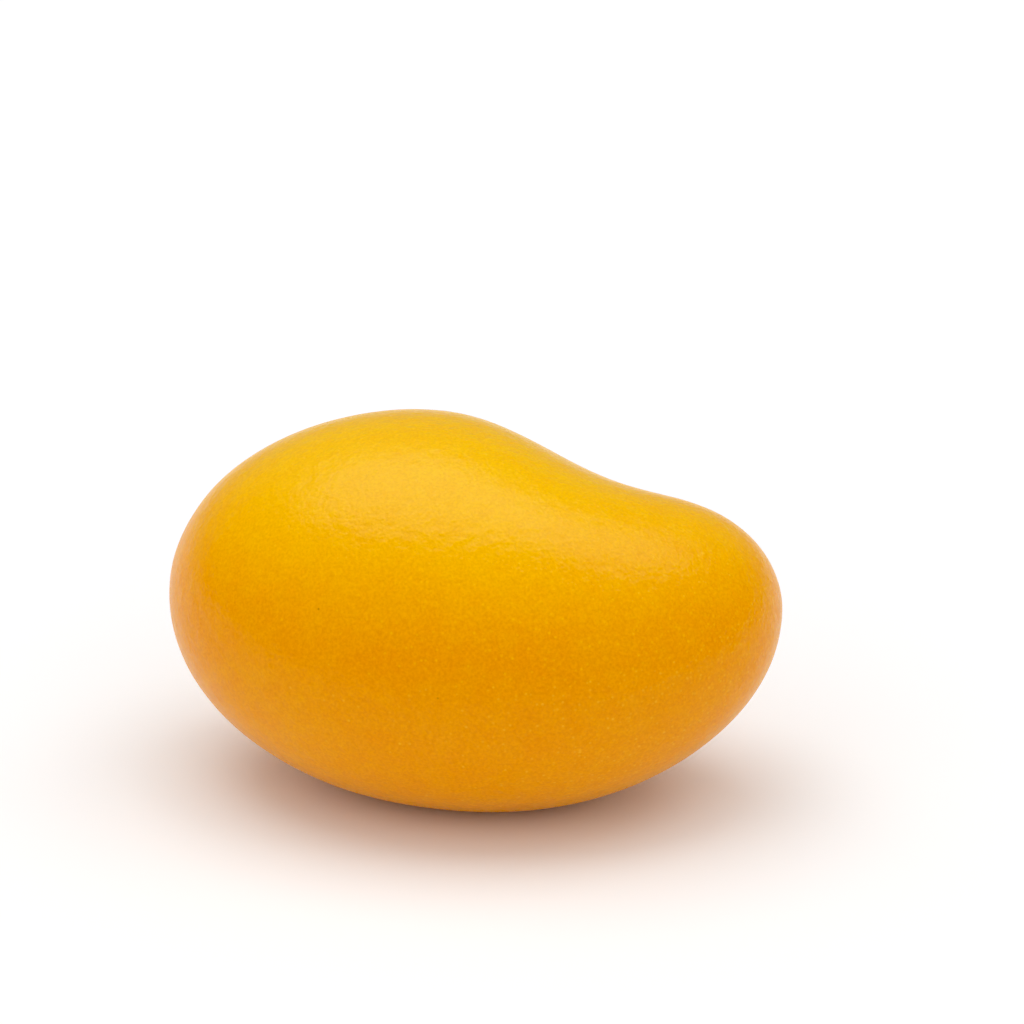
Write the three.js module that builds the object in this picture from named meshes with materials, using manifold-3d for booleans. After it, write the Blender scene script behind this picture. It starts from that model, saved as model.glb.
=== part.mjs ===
// A ripe yellow mango, one solid fruit, lying on its side as picked.
//
// Units are millimetres and +Z is up. +X runs along the fruit to its apex, and the origin
// lies under the middle of the fruit, on the surface that it rests on.
//
// The body is a sphere reshaped by a rule. Each point of a unit sphere stands for one point
// of the skin: its X is the station along the fruit, from -1 at the stem end to 1 at the
// apex, and the circle that it lies on becomes the fruit's oval section at that station.
import * as THREE from "three";
import { mergeVertices } from "three/addons/utils/BufferGeometryUtils.js";
import Module from "manifold-3d";

// Driving dimensions: the body
const LENGTH = 112; // stem end to apex
const THICKNESS = 64; // cheek to cheek, across the flat stone
const DORSAL_REACH = 40; // from the long axis to the round back
const VENTRAL_REACH = 36; // from the long axis to the belly, which holds the sinus
const CHEEK_TAPER = -0.08; // share of the thickness lost from the middle to the apex
const VENTRAL_TAPER = -0.08; // share of the ventral reach lost from the middle to the apex

// The sinus: the broad hollow in the belly, just before the beak
const SINUS_DEPTH = 10.5;
const SINUS_STATION = 0.46;
const SINUS_SPREAD = 0.39; // in stations

// The stem scar: a corky button in a shallow dimple, set towards the belly
const SCAR_LEAN = THREE.MathUtils.degToRad(20); // from the stem end, seen from the fruit's middle
const DIMPLE_DEPTH = 1.2;
const DIMPLE_SPREAD = 6.5;
const BUTTON_RADIUS = 2.8;
const BUTTON_EDGE = 0.8; // width of the button's sloping edge
const BUTTON_HEIGHT = 0.9;

// How it lies: rolled back on its cheek, on the flat spot that its own weight has pressed
const ROLL = THREE.MathUtils.degToRad(34);
const FLAT_DEPTH = 1.2;

// Facets
const RINGS = 50; // round the scar, from there to the far end
const RING_SIDES = 68;
const RING_GATHER = 0.55; // how much closer the rings lie at the scar: 0 is even, 1 is all there

const wasm = await Module();
wasm.setup();

const bell = (x) => Math.exp(-x * x);

const ventralReach = (station) =>
  VENTRAL_REACH * (1 + VENTRAL_TAPER * station) -
  SINUS_DEPTH * bell((station - SINUS_STATION) / SINUS_SPREAD);

const halfThickness = (station) => (THICKNESS / 2) * (1 + CHEEK_TAPER * station);

// The smooth body's point for one point of the unit sphere, with X to the apex, Y to the
// belly and Z out of the upper cheek. The section's middle lies halfway from back to belly.
function bodyPoint(unit) {
  const station = unit.x;
  const ring = Math.hypot(unit.y, unit.z);
  const ventral = ventralReach(station);
  const middle = ((ventral - DORSAL_REACH) / 2) * ring;
  const halfWidth = (ventral + DORSAL_REACH) / 2;
  return new THREE.Vector3(
    (LENGTH / 2) * station,
    middle + halfWidth * unit.y,
    halfThickness(station) * unit.z,
  );
}

// Where the stalk snapped off, and the way that the skin faces there. Two points beside the
// scar, on the fruit's plane of symmetry, give the skin's slope.
function stemScar() {
  const at = (angle) => bodyPoint(new THREE.Vector3(-Math.cos(angle), Math.sin(angle), 0));
  const step = 0.01;
  const slope = at(SCAR_LEAN + step).sub(at(SCAR_LEAN - step));
  return {
    centre: at(SCAR_LEAN),
    outward: new THREE.Vector3(-slope.y, slope.x, 0).normalize(),
  };
}

// The dimple sinks in round the scar and the button stands up in its middle.
function addScarRelief(point, scar) {
  const away = point.distanceTo(scar.centre);
  const edge = THREE.MathUtils.smootherstep(
    away,
    BUTTON_RADIUS - BUTTON_EDGE / 2,
    BUTTON_RADIUS + BUTTON_EDGE / 2,
  );
  const rise = BUTTON_HEIGHT * (1 - edge) - DIMPLE_DEPTH * bell(away / DIMPLE_SPREAD);
  return point.addScaledVector(scar.outward, rise);
}

// A closed unit sphere with one pole at the stem scar. Its rings gather there, which keeps the
// scar's small relief round, and spread out towards the far end.
function skinSphere() {
  const sphere = new THREE.SphereGeometry(1, RING_SIDES, RINGS);
  sphere.deleteAttribute("normal");
  sphere.deleteAttribute("uv");
  const skin = mergeVertices(sphere);
  const positions = skin.getAttribute("position");
  const unit = new THREE.Vector3();
  const polar = new THREE.Spherical();
  for (let i = 0; i < positions.count; i++) {
    polar.setFromVector3(unit.fromBufferAttribute(positions, i));
    polar.phi -= RING_GATHER * Math.sin(polar.phi);
    unit.setFromSphericalCoords(1, polar.phi, polar.theta);
    positions.setXYZ(i, unit.x, unit.y, unit.z);
  }
  return skin.rotateZ(Math.PI / 2 - SCAR_LEAN);
}

// The whole skin as one closed mesh, rolled to the way that the fruit lies.
function fruitGeometry() {
  const skin = skinSphere();
  const scar = stemScar();
  const positions = skin.getAttribute("position");
  const unit = new THREE.Vector3();
  for (let i = 0; i < positions.count; i++) {
    unit.fromBufferAttribute(positions, i);
    const point = addScarRelief(bodyPoint(unit), scar);
    positions.setXYZ(i, point.x, point.y, point.z);
  }
  return skin.rotateX(ROLL);
}

// Centres the fruit over the origin, with its lowest point one flat depth under the surface.
function setDown(geometry) {
  geometry.computeBoundingBox();
  const { min, max } = geometry.boundingBox;
  return geometry.translate(-(min.x + max.x) / 2, -(min.y + max.y) / 2, -min.z - FLAT_DEPTH);
}

function solidOf(geometry) {
  return new wasm.Manifold(
    new wasm.Mesh({
      numProp: 3,
      vertProperties: new Float32Array(geometry.getAttribute("position").array),
      triVerts: new Uint32Array(geometry.index.array),
    }),
  );
}

function geometryOf(solid) {
  const { vertProperties, triVerts } = solid.getMesh();
  const geometry = new THREE.BufferGeometry()
    .setAttribute("position", new THREE.BufferAttribute(vertProperties, 3))
    .setIndex(new THREE.BufferAttribute(triVerts, 1));
  geometry.computeVertexNormals();
  return geometry;
}

// Takes off what lies under the surface, which leaves the flat spot.
function pressFlat(geometry) {
  const slab = new THREE.BoxGeometry(2 * LENGTH, 2 * LENGTH, LENGTH).translate(0, 0, -LENGTH / 2);
  slab.deleteAttribute("normal");
  slab.deleteAttribute("uv");
  return geometryOf(solidOf(geometry).subtract(solidOf(mergeVertices(slab))));
}

const waxySkin = new THREE.MeshStandardMaterial({
  name: "waxy_skin",
  color: 0xeda20a,
  roughness: 0.45,
  metalness: 0,
});

const fruit = new THREE.Mesh(pressFlat(setDown(fruitGeometry())), waxySkin);
fruit.name = "mango";

const mango = new THREE.Group();
mango.add(fruit);

export default mango;
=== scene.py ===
# A ripe yellow mango, lying on its side on a white floor. Metres, +Z up, +X to the fruit's apex.
import math

import bpy
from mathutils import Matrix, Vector


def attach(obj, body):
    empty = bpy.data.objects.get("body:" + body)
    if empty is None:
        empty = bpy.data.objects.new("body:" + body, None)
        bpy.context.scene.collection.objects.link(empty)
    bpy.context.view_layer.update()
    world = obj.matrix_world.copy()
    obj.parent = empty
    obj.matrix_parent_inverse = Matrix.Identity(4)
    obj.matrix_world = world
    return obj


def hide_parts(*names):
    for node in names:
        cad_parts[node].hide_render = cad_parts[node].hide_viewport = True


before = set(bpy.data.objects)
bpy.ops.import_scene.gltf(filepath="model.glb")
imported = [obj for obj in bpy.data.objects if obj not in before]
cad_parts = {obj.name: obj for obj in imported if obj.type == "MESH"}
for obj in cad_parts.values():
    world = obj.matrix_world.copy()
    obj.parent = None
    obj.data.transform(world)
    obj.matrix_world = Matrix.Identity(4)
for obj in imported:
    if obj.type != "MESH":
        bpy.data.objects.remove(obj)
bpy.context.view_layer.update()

# The fruit
# It grew as one piece: flesh round a flat stone, under a thin waxy skin. It is an egg shape with a
# round back, and a belly that dips at the sinus before the beak. The stalk has snapped off and left
# a corky scar, and the fruit's own weight has pressed a small flat spot where it lies on its cheek.
MM = 0.001

body_sizes = {
    "Length": 112 * MM,
    "Thickness": 64 * MM,
    "Dorsal Reach": 40 * MM,
    "Ventral Reach": 36 * MM,
    "Cheek Taper": -0.08,
    "Ventral Taper": -0.08,
    "Sinus Depth": 10.5 * MM,
    "Sinus Station": 0.46,
    "Sinus Spread": 0.39,
}
scar_sizes = {
    "Scar Lean": math.radians(20),
    "Dimple Depth": 1.2 * MM,
    "Dimple Spread": 6.5 * MM,
    "Button Radius": 2.8 * MM,
    "Button Edge": 0.8 * MM,
    "Button Height": 0.9 * MM,
    "Button Raggedness": 0.5 * MM,
    "Pith Depth": 0.5 * MM,
    "Pith Radius": 0.8 * MM,
}
lie_sizes = {
    "Unevenness": 0.12 * MM,
    "Unevenness Width": 14 * MM,
    "Roll": math.radians(34),
    "Flat Depth": 1.2 * MM,
    "Flat Rounding": 0.5 * MM,
    "Seed": 3.0,
}
facet_counts = {"Rings": 230, "Ring Sides": 320}
RING_GATHER = 0.55  # how much closer the rings lie at the scar, where the relief is finest
RAGGED_WIDTH = 1.6 * MM  # of the waves in the scar's edge
STYLE_LEAN = math.radians(155)  # where the flower's style stood, from the stem end round by the belly


def body_point(station, across, outward):
    """The body's point for one of the unit sphere: X to the apex, Y to the belly, Z out of the cheek."""
    size = body_sizes
    ring = math.hypot(across, outward)
    dip = math.exp(-(((station - size["Sinus Station"]) / size["Sinus Spread"]) ** 2))
    ventral = size["Ventral Reach"] * (1 + size["Ventral Taper"] * station) - size["Sinus Depth"] * dip
    middle = (ventral - size["Dorsal Reach"]) / 2 * ring
    half_width = (ventral + size["Dorsal Reach"]) / 2
    half_thickness = size["Thickness"] / 2 * (1 + size["Cheek Taper"] * station)
    return Vector((size["Length"] / 2 * station, middle + half_width * across, half_thickness * outward))


def keel_point(angle):
    """The body's point in its plane of symmetry, at an angle from the stem end round by the belly."""
    return body_point(-math.cos(angle), math.sin(angle), 0)


slope_step = 0.01
scar_lean = scar_sizes["Scar Lean"]
scar_slope = keel_point(scar_lean + slope_step) - keel_point(scar_lean - slope_step)
places = {
    "Scar Centre": keel_point(scar_lean),
    "Scar Outward": Vector((-scar_slope.y, scar_slope.x, 0)).normalized(),
}

MATH = "ShaderNodeMath"
VECTOR_MATH = "ShaderNodeVectorMath"


def add(tree, kind, inputs=None, **settings):
    """Adds a node, sets it, and gives its inputs values, sockets, or other nodes' first live outputs."""
    node = tree.nodes.new(kind)
    for name, value in settings.items():
        setattr(node, name, value)
    for key, value in (inputs or {}).items():
        if isinstance(value, bpy.types.Node):
            value = next(socket for socket in value.outputs if socket.enabled)
        if isinstance(value, bpy.types.NodeSocket):
            tree.links.new(value, node.inputs[key])
        else:
            node.inputs[key].default_value = value
    return node


def linear(hex_colour):
    """An sRGB hex colour as linear red, green and blue, with alpha 1."""
    channels = [int(hex_colour[i:i + 2], 16) / 255 for i in (0, 2, 4)]
    return [c / 12.92 if c <= 0.04045 else ((c + 0.055) / 1.055) ** 2.4 for c in channels] + [1.0]


def waxy_skin():
    """Mango skin, grown and ripened: a thin leathery rind under a film of wax. It gives the eye a deep
    golden yellow, painted golden on top as light and deeper orange below as shade, a soft gloss that
    the fine grain breaks up at its edge, and pale pores by the apex."""
    # The skin's colour as a lit and a shaded copy: golden is painted light on top, orange painted shade
    # below
    LIT_GOLDEN = linear("f0b806")
    SHADED_ORANGE = linear("ea9702")
    PAINTED_LIGHT_FROM, PAINTED_LIGHT_TO = 35 * MM, 64 * MM  # painted light: golden where the fruit lies highest, deeper orange lower down as painted shade
    PAINTED_LIGHT_SLANT = 0.03  # rise of the painted golden light towards the apex
    CLOUD_WIDTH, CLOUD_SWING = 18 * MM, 0.25
    MOTTLE_WIDTH, MOTTLE_SWING = 4 * MM, 0.35
    GRAIN_WIDTH, GRAIN_SWING = 0.5 * MM, 0.5  # the real grain is finer: drawn as coarse as it needs to show
    GRAIN_LOW, GRAIN_HIGH = 0.2, 0.8  # where most of the noise lies
    GRAIN_SHADE_DARK, GRAIN_SHADE_LIGHT = 0.92, 1.06
    GRAIN_HEIGHT = 0.06 * MM
    PEEL_WIDTH, PEEL_HEIGHT = 1.8 * MM, 0.18 * MM
    PALE_PORE = linear("fac52c")
    PORE_SPACING, PORE_RADIUS = 0.9 * MM, 0.4 * MM
    PORE_HEIGHT = 0.03 * MM
    PORES_FROM, PORES_TO = 15 * MM, 85 * MM  # along the fruit and up it, added together
    FEWEST_PORES, MOST_PORES = 0.04, 1.0
    FAINTEST_PORE, PALEST_PORE = 0.05, 0.5
    FRECKLE = linear("7a4208")
    FRECKLE_SPACING, FRECKLE_RADIUS = 14 * MM, 0.28 * MM
    FRECKLE_STRENGTH = 0.8
    STYLE_RADIUS = 0.7 * MM
    CORK = linear("b58d58")
    DARK_CORK = linear("4f3419")
    CORK_GRAIN, CORK_HEIGHT = 0.5 * MM, 0.35 * MM
    CORK_RING, CORK_RING_SWING = 1.5 * MM, 0.2  # from ring to ring, as in the cut end of a twig
    SAP_STAIN = linear("9a8a10")
    STAIN_STRENGTH = 0.35
    WAX_ROUGHNESS, CORK_ROUGHNESS = 0.27, 0.9
    BLOOM = linear("ffc050")  # the wax scatters a little warm light at the fruit's rim

    material = bpy.data.materials.new("waxy_mango_skin")
    material.use_nodes = True
    tree = material.node_tree
    tree.nodes.clear()
    place = add(tree, "ShaderNodeTexCoord").outputs["Object"]
    grown = add(tree, "ShaderNodeAttribute", attribute_name="grown_place").outputs["Vector"]
    corky = add(tree, "ShaderNodeAttribute", attribute_name="corky").outputs["Fac"]
    dimple = add(tree, "ShaderNodeAttribute", attribute_name="dimple").outputs["Fac"]

    # Painted light and shade: golden above and orange below by height, with soft clouds, mottle and grain
    # between the two
    axes = add(tree, "ShaderNodeSeparateXYZ", {0: place}).outputs
    level = add(tree, MATH, {0: axes["X"], 1: PAINTED_LIGHT_SLANT, 2: axes["Z"]}, operation="MULTIPLY_ADD")
    hue = add(tree, "ShaderNodeMapRange", {"Value": level, "From Min": PAINTED_LIGHT_FROM, "From Max": PAINTED_LIGHT_TO},
              interpolation_type="SMOOTHSTEP")
    grain = add(tree, "ShaderNodeTexNoise", {"Vector": place, "Scale": 1 / GRAIN_WIDTH, "Detail": 2.0})
    mottle = add(tree, "ShaderNodeTexNoise", {"Vector": place, "Scale": 1 / MOTTLE_WIDTH, "Detail": 3.0})
    cloud = add(tree, "ShaderNodeTexNoise", {"Vector": place, "Scale": 1 / CLOUD_WIDTH, "Detail": 2.0})
    for noise, swing in ((cloud, CLOUD_SWING), (mottle, MOTTLE_SWING), (grain, GRAIN_SWING)):
        drift = add(tree, MATH, {0: noise, 1: swing, 2: -swing / 2}, operation="MULTIPLY_ADD")
        hue = add(tree, MATH, {0: hue, 1: drift}, operation="ADD")
    colour = add(tree, "ShaderNodeMix", {0: hue, 6: SHADED_ORANGE, 7: LIT_GOLDEN},
                 data_type="RGBA", clamp_factor=False)
    # The grain's darker and lighter tone: partly the skin's own grain, partly painted shade of its fine
    # relief
    shade = add(tree, "ShaderNodeMapRange",
                {"Value": grain, "From Min": GRAIN_LOW, "From Max": GRAIN_HIGH,
                 "To Min": GRAIN_SHADE_DARK, "To Max": GRAIN_SHADE_LIGHT})
    colour = add(tree, VECTOR_MATH, {0: colour, "Scale": shade}, operation="SCALE")

    # Pale pores, which crowd on the fruit's upper side, near the apex
    pores = add(tree, "ShaderNodeTexVoronoi", {"Vector": place, "Scale": 1 / PORE_SPACING})
    draw = add(tree, "ShaderNodeSeparateXYZ", {0: pores.outputs["Color"]}).outputs
    station = add(tree, "ShaderNodeSeparateXYZ", {0: grown}).outputs["X"]
    toward_apex_and_top = add(tree, MATH, {0: station, 1: axes["Z"]}, operation="ADD")
    share = add(tree, "ShaderNodeMapRange",
                {"Value": toward_apex_and_top, "From Min": PORES_FROM, "From Max": PORES_TO,
                 "To Min": FEWEST_PORES, "To Max": MOST_PORES})
    kept = add(tree, MATH, {0: draw["X"], 1: share}, operation="LESS_THAN")
    spot = add(tree, "ShaderNodeMapRange",
               {"Value": pores.outputs["Distance"], "From Max": PORE_RADIUS / PORE_SPACING,
                "To Min": 1.0, "To Max": 0.0}, interpolation_type="SMOOTHSTEP")
    pore = add(tree, MATH, {0: spot, 1: kept}, operation="MULTIPLY")
    paleness = add(tree, "ShaderNodeMapRange",
                   {"Value": draw["Y"], "To Min": FAINTEST_PORE, "To Max": PALEST_PORE})
    pale = add(tree, MATH, {0: pore, 1: paleness}, operation="MULTIPLY")
    colour = add(tree, "ShaderNodeMix", {0: pale, 6: colour, 7: PALE_PORE}, data_type="RGBA")

    # A few brown freckles, and the dark point where the flower's style stood
    freckles = add(tree, "ShaderNodeTexVoronoi", {"Vector": place, "Scale": 1 / FRECKLE_SPACING})
    freckle = add(tree, "ShaderNodeMapRange",
                  {"Value": freckles.outputs["Distance"], "From Max": FRECKLE_RADIUS / FRECKLE_SPACING,
                   "To Min": FRECKLE_STRENGTH, "To Max": 0.0})
    from_style = add(tree, VECTOR_MATH, {0: grown, 1: keel_point(STYLE_LEAN)}, operation="DISTANCE")
    style = add(tree, "ShaderNodeMapRange",
                {"Value": from_style, "From Max": STYLE_RADIUS, "To Min": 1.0, "To Max": 0.0},
                interpolation_type="SMOOTHSTEP")
    brown = add(tree, MATH, {0: freckle, 1: style}, operation="MAXIMUM")
    colour = add(tree, "ShaderNodeMix", {0: brown, 6: colour, 7: FRECKLE}, data_type="RGBA")

    # The scar's cork, in a dimple that sap has stained
    cork_grain = add(tree, "ShaderNodeTexNoise",
                     {"Vector": place, "Scale": 1 / CORK_GRAIN, "Detail": 4.0, "Roughness": 0.7})
    from_scar = add(tree, VECTOR_MATH, {0: grown, 1: places["Scar Centre"]}, operation="DISTANCE")
    turns = add(tree, MATH, {0: from_scar, 1: -2 * math.pi / CORK_RING, 2: cork_grain},
                operation="MULTIPLY_ADD")
    rings = add(tree, MATH, {0: turns}, operation="COSINE")
    cork_tone = add(tree, MATH, {0: rings, 1: -CORK_RING_SWING, 2: cork_grain}, operation="MULTIPLY_ADD")
    cork = add(tree, "ShaderNodeMix", {0: cork_tone, 6: DARK_CORK, 7: CORK}, data_type="RGBA")
    stained = add(tree, MATH, {0: dimple, 1: STAIN_STRENGTH}, operation="MULTIPLY")
    colour = add(tree, "ShaderNodeMix", {0: stained, 6: colour, 7: SAP_STAIN}, data_type="RGBA")
    colour = add(tree, "ShaderNodeMix", {0: corky, 6: colour, 7: cork}, data_type="RGBA")

    # Relief too fine for the mesh
    peel = add(tree, "ShaderNodeTexNoise", {"Vector": place, "Scale": 1 / PEEL_WIDTH, "Detail": 1.0})
    bump = add(tree, "ShaderNodeBump", {"Height": peel, "Distance": PEEL_HEIGHT})
    bump = add(tree, "ShaderNodeBump", {"Height": grain, "Distance": GRAIN_HEIGHT, "Normal": bump})
    bump = add(tree, "ShaderNodeBump", {"Height": pore, "Distance": PORE_HEIGHT, "Normal": bump})
    rough_cork = add(tree, MATH, {0: cork_grain, 1: corky}, operation="MULTIPLY")
    bump = add(tree, "ShaderNodeBump", {"Height": rough_cork, "Distance": CORK_HEIGHT, "Normal": bump})

    dull = add(tree, "ShaderNodeMapRange",
               {"Value": corky, "To Min": WAX_ROUGHNESS, "To Max": CORK_ROUGHNESS})
    shader = add(tree, "ShaderNodeBsdfPrincipled", {
        "Base Color": colour,
        "Roughness": dull,
        "Normal": bump,
        "IOR": 1.45,
        "Specular IOR Level": 0.3,
        "Sheen Weight": 0.25,
        "Sheen Roughness": 0.4,
        "Sheen Tint": BLOOM,
        "Subsurface Weight": 0.2,
        "Subsurface Radius": (1.0, 0.45, 0.1),
        "Subsurface Scale": 2.5 * MM,
    })
    add(tree, "ShaderNodeOutputMaterial", {"Surface": shader})
    return material


def fruit_tree():
    """The nodes that turn a unit sphere into the fruit, by the same rule as its solid."""
    tree = bpy.data.node_groups.new("mango_fruit", "GeometryNodeTree")
    tree.interface.new_socket("Geometry", in_out="INPUT", socket_type="NodeSocketGeometry")
    for name in [*body_sizes, *scar_sizes, *lie_sizes]:
        tree.interface.new_socket(name, in_out="INPUT", socket_type="NodeSocketFloat")
    for name in places:
        tree.interface.new_socket(name, in_out="INPUT", socket_type="NodeSocketVector")
    for name in facet_counts:
        tree.interface.new_socket(name, in_out="INPUT", socket_type="NodeSocketInt")
    tree.interface.new_socket("Skin", in_out="INPUT", socket_type="NodeSocketMaterial")
    tree.interface.new_socket("Geometry", in_out="OUTPUT", socket_type="NodeSocketGeometry")
    given = add(tree, "NodeGroupInput").outputs
    place = add(tree, "GeometryNodeInputPosition")

    # A unit sphere whose rings gather round one pole, which turns to the scar
    sphere = add(tree, "GeometryNodeMeshUVSphere",
                 {"Segments": given["Ring Sides"], "Rings": given["Rings"], "Radius": 1.0}).outputs["Mesh"]
    axes = add(tree, "ShaderNodeSeparateXYZ", {0: place}).outputs
    polar = add(tree, MATH, {0: axes["Z"]}, operation="ARCCOSINE")
    wide = add(tree, MATH, {0: polar}, operation="SINE")
    gathered = add(tree, MATH, {0: wide, 1: -RING_GATHER, 2: polar}, operation="MULTIPLY_ADD")
    new_wide = add(tree, MATH, {0: gathered}, operation="SINE")
    new_high = add(tree, MATH, {0: gathered}, operation="COSINE")
    draw_in = add(tree, MATH, {0: new_wide, 1: wide}, operation="DIVIDE")
    sphere_x = add(tree, MATH, {0: axes["X"], 1: draw_in}, operation="MULTIPLY")
    sphere_y = add(tree, MATH, {0: axes["Y"], 1: draw_in}, operation="MULTIPLY")
    drawn = add(tree, "ShaderNodeCombineXYZ", {"X": sphere_x, "Y": sphere_y, "Z": new_high})
    sphere = add(tree, "GeometryNodeSetPosition", {"Geometry": sphere, "Position": drawn})
    lean = add(tree, MATH, {0: given["Scar Lean"], 1: -1.0}, operation="MULTIPLY")
    turn = add(tree, "ShaderNodeCombineXYZ", {"Y": -math.pi / 2, "Z": lean})
    sphere = add(tree, "GeometryNodeTransform", {"Geometry": sphere, "Rotation": turn})

    # How far the belly reaches at each station along the fruit
    axes = add(tree, "ShaderNodeSeparateXYZ", {0: place}).outputs
    station, across, outward = axes["X"], axes["Y"], axes["Z"]
    section = add(tree, VECTOR_MATH, {0: place, 1: (0, 1, 1)}, operation="MULTIPLY")
    ring = add(tree, VECTOR_MATH, {0: section}, operation="LENGTH")
    from_sinus = add(tree, MATH, {0: station, 1: given["Sinus Station"]}, operation="SUBTRACT")
    spreads = add(tree, MATH, {0: from_sinus, 1: given["Sinus Spread"]}, operation="DIVIDE")
    square = add(tree, MATH, {0: spreads, 1: spreads}, operation="MULTIPLY")
    fall = add(tree, MATH, {0: square, 1: -1.0}, operation="MULTIPLY")
    bell = add(tree, MATH, {0: fall}, operation="EXPONENT")
    dip = add(tree, MATH, {0: bell, 1: given["Sinus Depth"]}, operation="MULTIPLY")
    taper = add(tree, MATH, {0: station, 1: given["Ventral Taper"], 2: 1.0}, operation="MULTIPLY_ADD")
    full = add(tree, MATH, {0: taper, 1: given["Ventral Reach"]}, operation="MULTIPLY")
    ventral = add(tree, MATH, {0: full, 1: dip}, operation="SUBTRACT")

    # The oval section there, twice its size, with its middle halfway from back to belly
    offset = add(tree, MATH, {0: ventral, 1: given["Dorsal Reach"]}, operation="SUBTRACT")
    middle = add(tree, MATH, {0: offset, 1: ring}, operation="MULTIPLY")
    width = add(tree, MATH, {0: ventral, 1: given["Dorsal Reach"]}, operation="ADD")
    belly = add(tree, MATH, {0: width, 1: across, 2: middle}, operation="MULTIPLY_ADD")
    taper = add(tree, MATH, {0: station, 1: given["Cheek Taper"], 2: 1.0}, operation="MULTIPLY_ADD")
    thickness = add(tree, MATH, {0: taper, 1: given["Thickness"]}, operation="MULTIPLY")
    cheek = add(tree, MATH, {0: thickness, 1: outward}, operation="MULTIPLY")
    along = add(tree, MATH, {0: given["Length"], 1: station}, operation="MULTIPLY")
    doubled = add(tree, "ShaderNodeCombineXYZ", {"X": along, "Y": belly, "Z": cheek})
    point = add(tree, VECTOR_MATH, {0: doubled, "Scale": 0.5}, operation="SCALE")
    body = add(tree, "GeometryNodeSetPosition", {"Geometry": sphere, "Position": point})
    body = add(tree, "GeometryNodeStoreNamedAttribute",
               {"Geometry": body, "Name": "grown_place", "Value": place},
               data_type="FLOAT_VECTOR", domain="POINT")

    # The scar: a ragged button with a small pit of pith, in a shallow dimple
    ragged = add(tree, "ShaderNodeTexNoise",
                 {"Vector": place, "W": given["Seed"], "Scale": 1 / RAGGED_WIDTH}, noise_dimensions="4D")
    ragged = add(tree, "ShaderNodeMapRange", {"Value": ragged, "To Min": -1.0, "To Max": 1.0})
    exact = add(tree, VECTOR_MATH, {0: place, 1: given["Scar Centre"]}, operation="DISTANCE")
    away = add(tree, MATH, {0: ragged, 1: given["Button Raggedness"], 2: exact}, operation="MULTIPLY_ADD")
    half_edge = add(tree, MATH, {0: given["Button Edge"], 1: 0.5}, operation="MULTIPLY")
    inner = add(tree, MATH, {0: given["Button Radius"], 1: half_edge}, operation="SUBTRACT")
    outer = add(tree, MATH, {0: given["Button Radius"], 1: half_edge}, operation="ADD")
    button = add(tree, "ShaderNodeMapRange",
                 {"Value": away, "From Min": inner, "From Max": outer, "To Min": 1.0, "To Max": 0.0},
                 interpolation_type="SMOOTHERSTEP")
    bells = {}
    for name, spread in {"dimple": "Dimple Spread", "pith": "Pith Radius"}.items():
        spreads = add(tree, MATH, {0: exact, 1: given[spread]}, operation="DIVIDE")
        square = add(tree, MATH, {0: spreads, 1: spreads}, operation="MULTIPLY")
        fall = add(tree, MATH, {0: square, 1: -1.0}, operation="MULTIPLY")
        bells[name] = add(tree, MATH, {0: fall}, operation="EXPONENT")
    sink = add(tree, MATH, {0: bells["dimple"], 1: given["Dimple Depth"]}, operation="MULTIPLY")
    pit = add(tree, MATH, {0: bells["pith"], 1: given["Pith Depth"], 2: sink}, operation="MULTIPLY_ADD")
    stand = add(tree, MATH, {0: button, 1: given["Button Height"]}, operation="MULTIPLY")
    rise = add(tree, MATH, {0: stand, 1: pit}, operation="SUBTRACT")
    relief = add(tree, VECTOR_MATH, {0: given["Scar Outward"], "Scale": rise}, operation="SCALE")

    # The slight unevenness of a grown thing
    scale = add(tree, MATH, {0: 1.0, 1: given["Unevenness Width"]}, operation="DIVIDE")
    swell = add(tree, "ShaderNodeTexNoise",
                {"Vector": place, "W": given["Seed"], "Scale": scale, "Detail": 1.0},
                noise_dimensions="4D")
    swell = add(tree, "ShaderNodeMapRange", {"Value": swell, "To Min": -1.0, "To Max": 1.0})
    swell = add(tree, MATH, {0: swell, 1: given["Unevenness"]}, operation="MULTIPLY")
    normal = add(tree, "GeometryNodeInputNormal")
    uneven = add(tree, VECTOR_MATH, {0: normal, "Scale": swell}, operation="SCALE")
    shift = add(tree, VECTOR_MATH, {0: relief, 1: uneven}, operation="ADD")
    for name, value in {"corky": button, "dimple": bells["dimple"]}.items():
        body = add(tree, "GeometryNodeStoreNamedAttribute",
                   {"Geometry": body, "Name": name, "Value": value}, data_type="FLOAT", domain="POINT")
    body = add(tree, "GeometryNodeSetPosition", {"Geometry": body, "Offset": shift})

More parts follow.
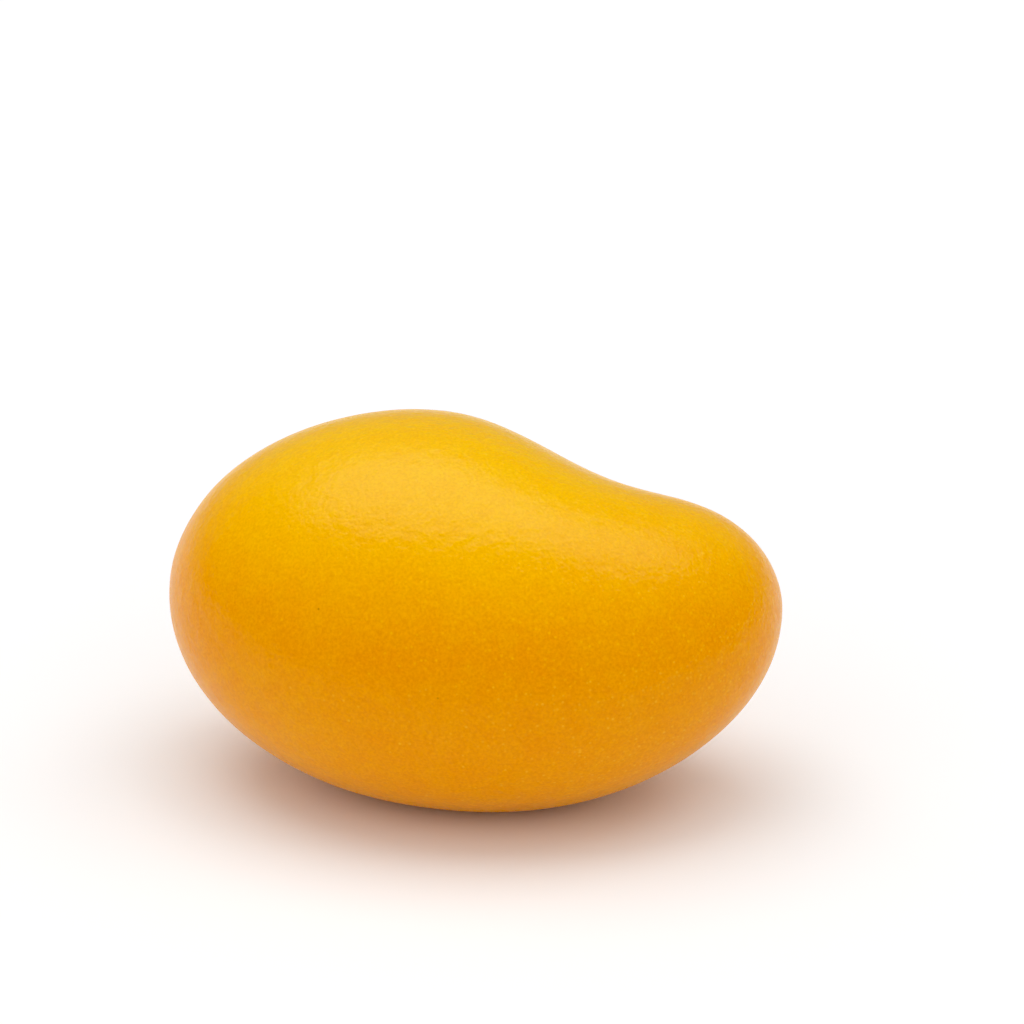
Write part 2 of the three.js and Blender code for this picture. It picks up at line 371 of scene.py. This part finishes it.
    # Rolled on its cheek, set down with its box over the origin, and pressed flat where it rests
    turn = add(tree, "ShaderNodeCombineXYZ", {"X": given["Roll"]})
    rolled = add(tree, "GeometryNodeTransform", {"Geometry": body, "Rotation": turn})
    box = add(tree, "GeometryNodeBoundBox", {"Geometry": rolled}).outputs
    corners = add(tree, VECTOR_MATH, {0: box["Min"], 1: box["Max"]}, operation="ADD")
    sideways = add(tree, VECTOR_MATH, {0: corners, 1: (-0.5, -0.5, 0)}, operation="MULTIPLY")
    lowest = add(tree, "ShaderNodeSeparateXYZ", {0: box["Min"]}).outputs["Z"]
    drop = add(tree, MATH, {0: lowest, 1: given["Flat Depth"]}, operation="ADD")
    drop = add(tree, "ShaderNodeCombineXYZ", {"Z": drop})
    move = add(tree, VECTOR_MATH, {0: sideways, 1: drop}, operation="SUBTRACT")
    laid = add(tree, "GeometryNodeTransform", {"Geometry": rolled, "Translation": move})
    axes = add(tree, "ShaderNodeSeparateXYZ", {0: place}).outputs
    above = add(tree, MATH, {0: axes["Z"], 1: 0.0, 2: given["Flat Rounding"]}, operation="SMOOTH_MAX")
    pressed = add(tree, "ShaderNodeCombineXYZ", {"X": axes["X"], "Y": axes["Y"], "Z": above})
    laid = add(tree, "GeometryNodeSetPosition", {"Geometry": laid, "Position": pressed})
    laid = add(tree, "GeometryNodeSetShadeSmooth", {"Geometry": laid})
    laid = add(tree, "GeometryNodeRealizeInstances", {"Geometry": laid})
    laid = add(tree, "GeometryNodeSetMaterial", {"Geometry": laid, "Material": given["Skin"]})
    add(tree, "NodeGroupOutput", {0: laid})
    return tree


def grow(name, tree, values):
    """Runs a tree with its inputs set, and keeps the result as a plain mesh object."""
    grown = bpy.data.objects.new(name, bpy.data.meshes.new(name))
    bpy.context.scene.collection.objects.link(grown)
    modifier = grown.modifiers.new(name, "NODES")
    modifier.node_group = tree
    for socket in tree.interface.items_tree:
        if socket.in_out == "INPUT" and socket.name in values:
            modifier[socket.identifier] = values[socket.name]
    evaluated = grown.evaluated_get(bpy.context.evaluated_depsgraph_get())
    mesh = bpy.data.meshes.new_from_object(evaluated)
    grown.modifiers.remove(modifier)
    grown.data = mesh
    return grown


fruit = grow("mango_fruit", fruit_tree(), {
    **body_sizes, **scar_sizes, **lie_sizes, **places, **facet_counts, "Skin": waxy_skin()})
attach(fruit, "root")
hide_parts("mango")

# The floor
# A wide sheet of plain white paper, matt, which the fruit lies on. It runs past the camera's view on
# every side, a hair under the fruit, and it shows in the gloss of the fruit's low rim.
FLOOR_REACH = 6.0
FLOOR_DROP = 0.02 * MM

floor_mesh = bpy.data.meshes.new("studio_floor")
signs = [(-1, -1), (1, -1), (1, 1), (-1, 1)]
corners = [(x * FLOOR_REACH, y * FLOOR_REACH, -FLOOR_DROP) for x, y in signs]
floor_mesh.from_pydata(corners, [], [(0, 1, 2, 3)])
floor = bpy.data.objects.new("studio_floor", floor_mesh)
bpy.context.scene.collection.objects.link(floor)
paper = bpy.data.materials.new("white_paper")
paper.use_nodes = True
paper.node_tree.nodes.clear()
paper_shader = add(paper.node_tree, "ShaderNodeBsdfPrincipled",
                   {"Base Color": linear("f6f6f6"), "Roughness": 0.9, "Specular IOR Level": 0.1})
add(paper.node_tree, "ShaderNodeOutputMaterial", {"Surface": paper_shader})
floor_mesh.materials.append(paper)

# The light
# Two soft boxes hang over the fruit and give it its gloss, in a white room that shows in its rim. Broad
# dim lights at both sides and in front fill the shadows, and are kept out of the gloss. Each light has
# the direction towards it, its width in degrees and its strength.
ROOM_STRENGTH = 0.36
soft_boxes = {
    "left_soft_box": ((-0.2, 0.18, 0.96), 48, 0.94),
    "right_soft_box": ((0.42, 0.18, 0.885), 38, 0.47),
}
fill_lights = {
    "left_fill": ((-0.85, -0.15, 0.5), 100, 0.58),
    "right_fill": ((0.85, -0.15, 0.5), 100, 0.54),
    "front_fill": ((0.0, -0.7, 0.7), 100, 0.68),
}

for name, (direction, spread, strength) in {**soft_boxes, **fill_lights}.items():
    lamp = bpy.data.lights.new(name, "SUN")
    lamp.energy = strength
    lamp.angle = math.radians(spread)
    light = bpy.data.objects.new(name, lamp)
    light.rotation_euler = Vector(direction).to_track_quat("Z", "Y").to_euler()
    light.visible_glossy = name in soft_boxes
    bpy.context.scene.collection.objects.link(light)

room = bpy.data.worlds.new("white_room")
room.use_nodes = True
room.node_tree.nodes.clear()
room_light = add(room.node_tree, "ShaderNodeBackground",
                 {"Color": linear("ffffff"), "Strength": ROOM_STRENGTH})
add(room.node_tree, "ShaderNodeOutputWorld", {"Surface": room_light})
bpy.context.scene.world = room

# The tone
# A plain print of the light, with its black point set a little above black. That clears the thin white
# haze that the room's reflection lays over the deep colour.
BLACK_POINT = 0.02
view = bpy.context.scene.view_settings
view.view_transform = "Standard"
view.use_curve_mapping = True
view.curve_mapping.black_level = (BLACK_POINT, BLACK_POINT, BLACK_POINT)
view.curve_mapping.update()

# The camera
# A long lens looks down on the fruit from a little to the right of its middle. The fruit lies left of
# the picture's centre and under it, as it does in the photo.
VIEW_AZIMUTH = math.radians(8)
VIEW_ELEVATION = math.radians(22)
VIEW_DISTANCE = 517.5 * MM
VIEW_AIM = Vector((6.1, 8.8, 48.7)) * MM

lens = bpy.data.cameras.new("camera")
lens.lens = 100
lens.sensor_width = 36
camera = bpy.data.objects.new("camera", lens)
to_camera = Vector((
    math.sin(VIEW_AZIMUTH) * math.cos(VIEW_ELEVATION),
    -math.cos(VIEW_AZIMUTH) * math.cos(VIEW_ELEVATION),
    math.sin(VIEW_ELEVATION),
))
camera.location = VIEW_AIM + to_camera * VIEW_DISTANCE
camera.rotation_euler = to_camera.to_track_quat("Z", "Y").to_euler()
bpy.context.scene.collection.objects.link(camera)
bpy.context.scene.camera = camera
